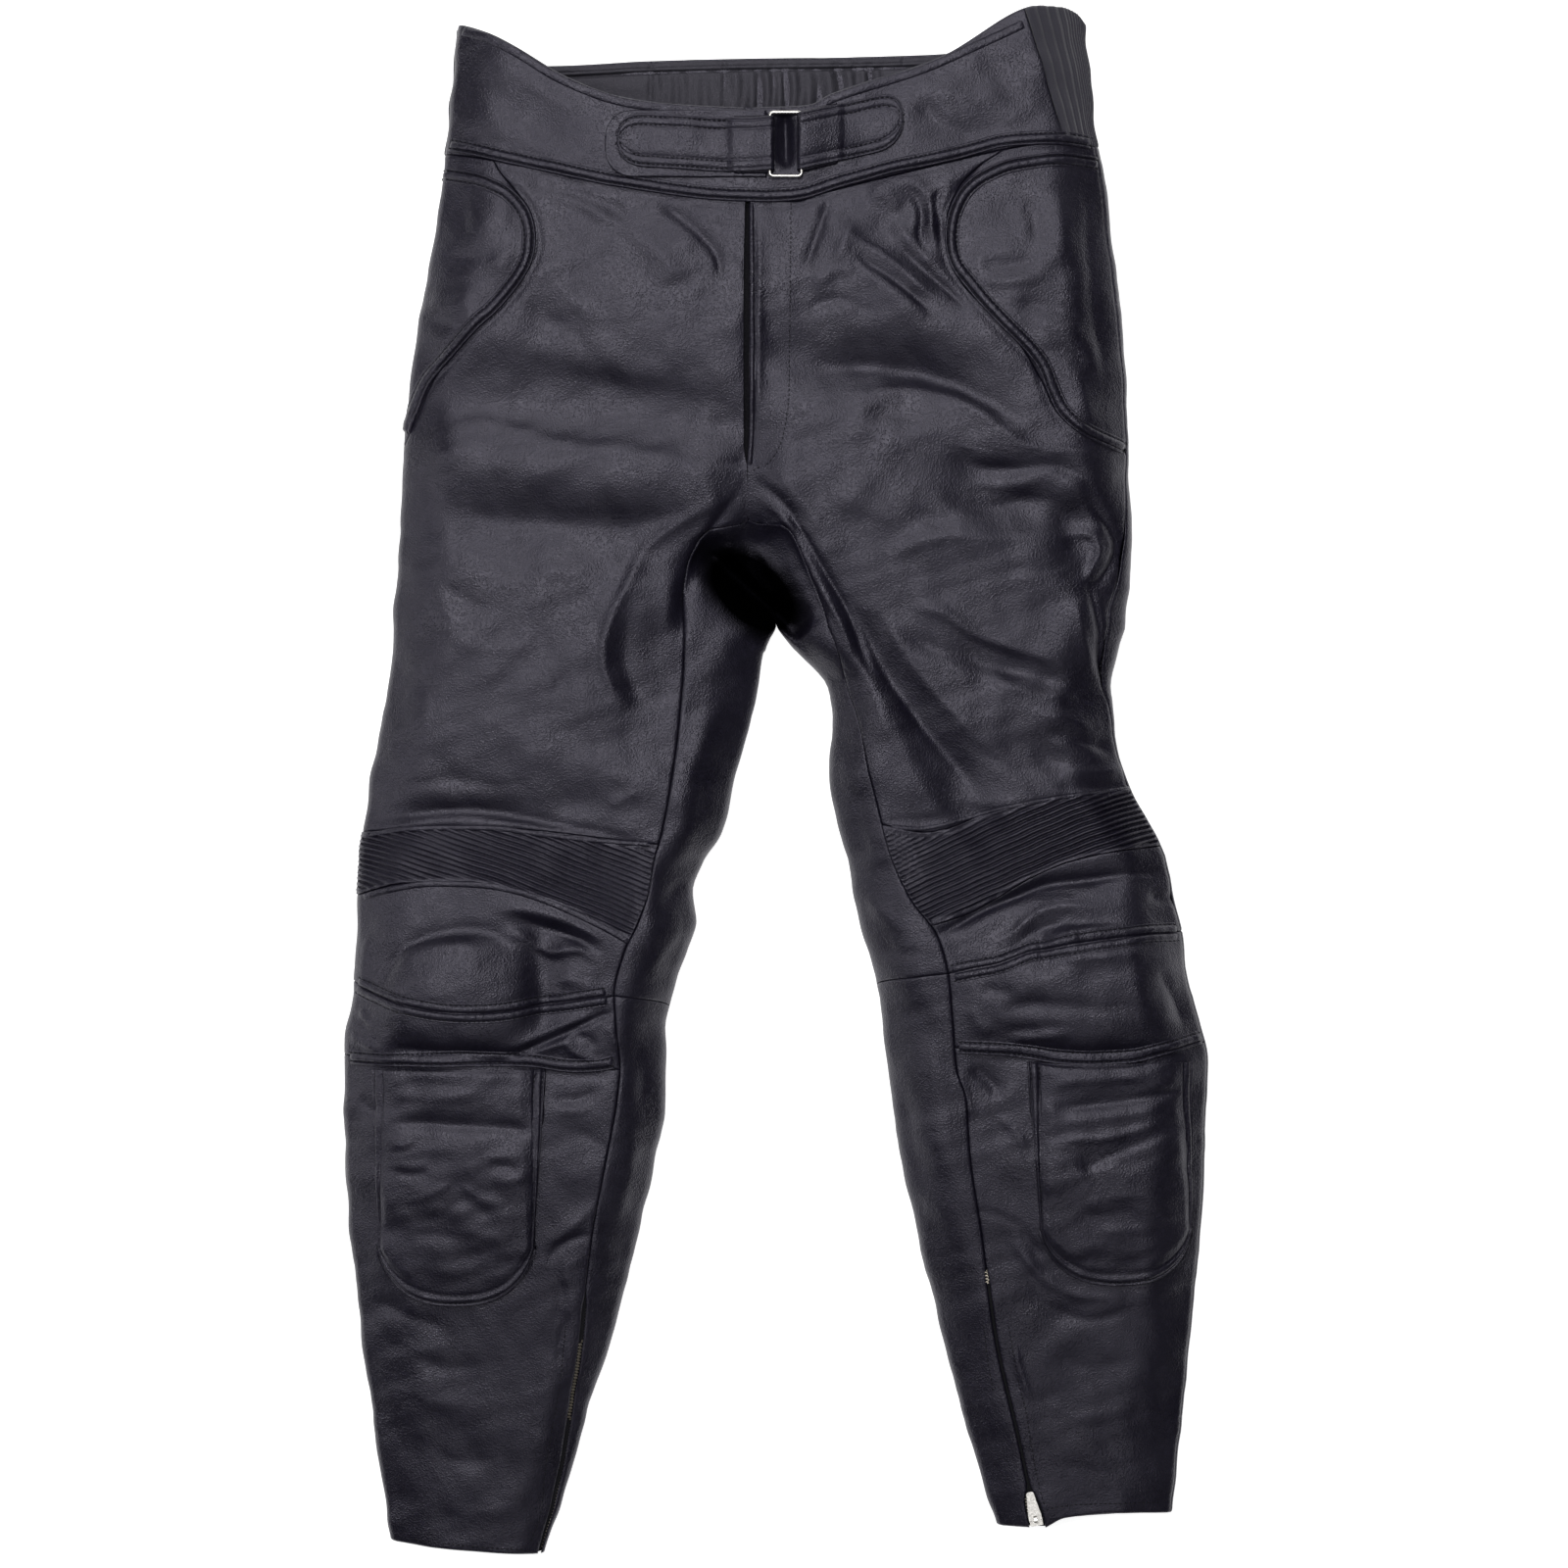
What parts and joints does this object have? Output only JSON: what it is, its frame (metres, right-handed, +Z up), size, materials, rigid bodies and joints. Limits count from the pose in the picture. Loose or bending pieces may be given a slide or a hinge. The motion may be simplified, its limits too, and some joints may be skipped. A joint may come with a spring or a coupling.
{
  "type": "leather motorcycle trousers",
  "caption": "Leather motorcycle trousers laid flat, front up, with pleated stretch bands over the knees, hip and shin pads, a waist strap with a ring, and ankle zips.",
  "frame": {"origin": "centre of the bounding box, on the surface the trousers lie on", "axes": "+Y towards the waist, +X towards the wearer's left leg, +Z up out of the front"},
  "size_m": [0.5879, 1.0478, 0.054],
  "materials": {
    "leather": "smooth black leather, fine grain, soft sheen",
    "pleated_leather": "black leather gathered in narrow pleats",
    "elastic": "black ribbed elastic webbing",
    "zip_tape": "black woven zip tape",
    "nickel": "bright nickel plate, lightly brushed"
  },
  "bodies": {
    "trousers": {"ankle_slider_l": "nickel", "ankle_zip_l": "zip_tape", "ankle_zip_r": "zip_tape", "calf_l": "leather", "calf_r": "leather", "fly_facing": "leather", "front_l": "leather", "front_r": "leather", "hip_pad_l": "leather", "hip_pad_r": "leather", "inner_calf_l": "leather", "inner_calf_r": "leather", "inner_thigh_l": "leather", "inner_thigh_r": "leather", "knee_lower_l": "leather", "knee_lower_r": "leather", "knee_upper_l": "leather", "knee_upper_r": "leather", "seat_l": "leather", "seat_r": "leather", "shin_l": "leather", "shin_pad_l": "leather", "shin_pad_r": "leather", "shin_r": "leather", "stretch_band_l": "pleated_leather", "stretch_band_r": "pleated_leather", "waist_ring": "nickel", "waist_strap": "leather", "waist_strap_base": "leather", "waist_tab": "leather", "waistband_back": "leather", "waistband_elastic_l": "elastic", "waistband_elastic_r": "elastic", "waistband_front_l": "leather", "waistband_front_r": "leather"},
    "pull_l": {"ankle_pull_l": "nickel"}
  },
  "joints": [
    {"name": "ankle_pull_l_hinge", "type": "hinge", "parent": "trousers", "child": "pull_l", "pos_m": [0.17589, -0.49913, 0.02239], "axis": [0.9754, 0.212, 0.061], "range_deg": [0, 165]}
  ]
}
